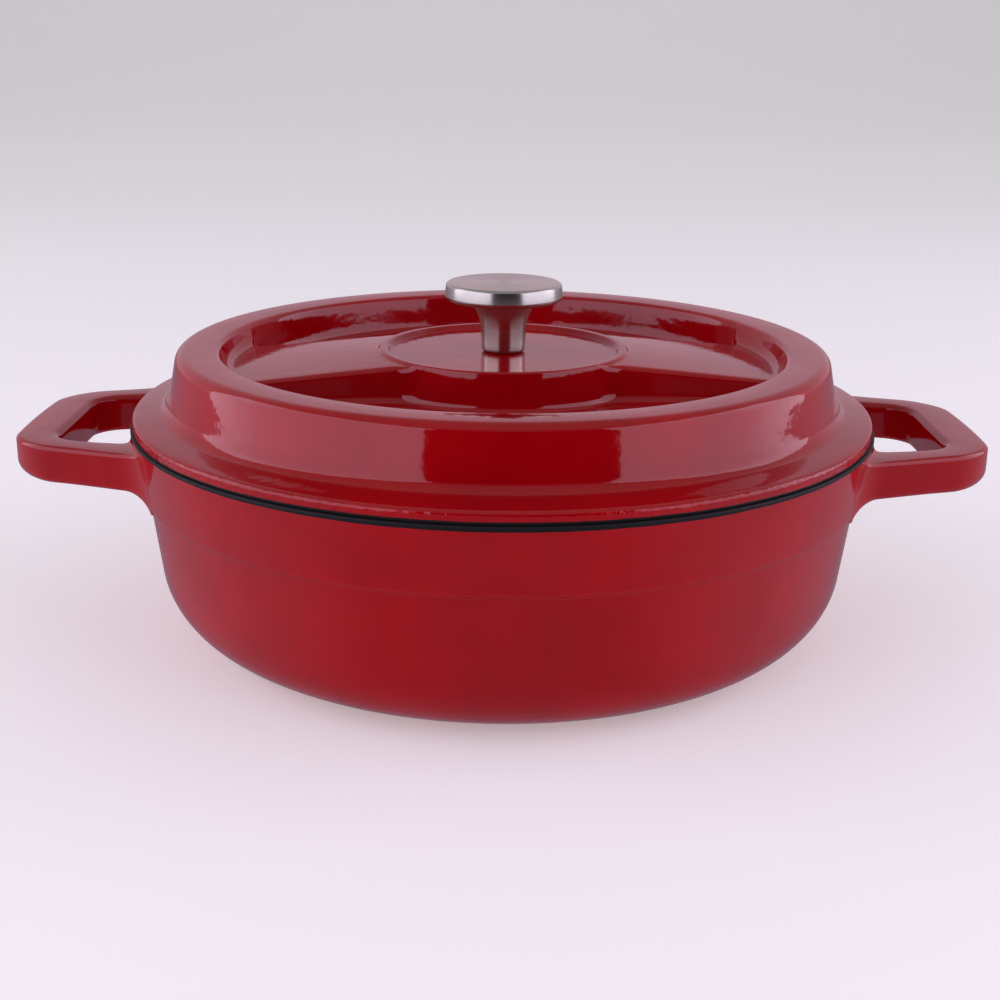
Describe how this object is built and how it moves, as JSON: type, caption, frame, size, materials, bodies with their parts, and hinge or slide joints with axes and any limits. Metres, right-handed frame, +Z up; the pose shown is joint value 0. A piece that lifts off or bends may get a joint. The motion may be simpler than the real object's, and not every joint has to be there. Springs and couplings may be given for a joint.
{
  "type": "lidded casserole",
  "caption": "Shallow round enamelled cast iron casserole with loop handles and a ringed lid that lifts off by its steel knob.",
  "frame": {"origin": "middle of the base, on the plane that the casserole stands on", "axes": "+Z up through the knob, +X along the two handles, +Y across them"},
  "size_m": [0.371, 0.2868, 0.133],
  "materials": {
    "red_enamel": "glossy red vitreous enamel on cast iron, black enamel inside and on the rims",
    "knob_steel": "turned and satin brushed stainless steel",
    "fastener_steel": "bright stainless steel"
  },
  "bodies": {
    "pot": {"pot_bowl": "red_enamel", "left_handle": "red_enamel", "right_handle": "red_enamel"},
    "knob": {"knob": "knob_steel", "knob_screw": "fastener_steel", "flat_washer": "fastener_steel", "spring_washer": "fastener_steel"},
    "lid": {"lid": "red_enamel"}
  },
  "joints": [
    {"name": "lid_lift", "type": "slide", "parent": "pot", "child": "knob", "axis": [0, 0, 1], "range_m": [0, 0.15]},
    {"name": "lid_turn", "type": "hinge", "parent": "knob", "child": "lid", "pos_m": [0, 0, 0.106], "axis": [0, 0, 1], "continuous": true}
  ]
}
